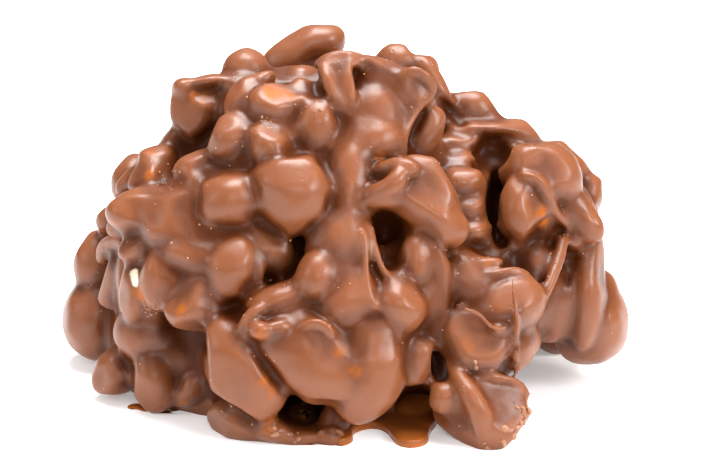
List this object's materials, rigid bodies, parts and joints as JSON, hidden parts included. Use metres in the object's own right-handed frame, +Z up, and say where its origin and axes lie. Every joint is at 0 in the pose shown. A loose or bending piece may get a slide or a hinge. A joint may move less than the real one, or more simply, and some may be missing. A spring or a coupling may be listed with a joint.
{
  "type": "chocolate pecan cluster",
  "caption": "Domed cluster of pecan pieces bound and coated in milk chocolate, with a lumpy glossy surface, curled drips and a flat base.",
  "frame": {"origin": "middle of the bounding box, on the flat base", "axes": "+X to the right along the longest side, +Y away from the viewer, +Z up"},
  "size_m": [0.0564, 0.0482, 0.034],
  "materials": {
    "milk_chocolate": "satin milk chocolate over nut pieces"
  },
  "bodies": {
    "root": {"pecan_cluster": "milk_chocolate"}
  },
  "joints": []
}
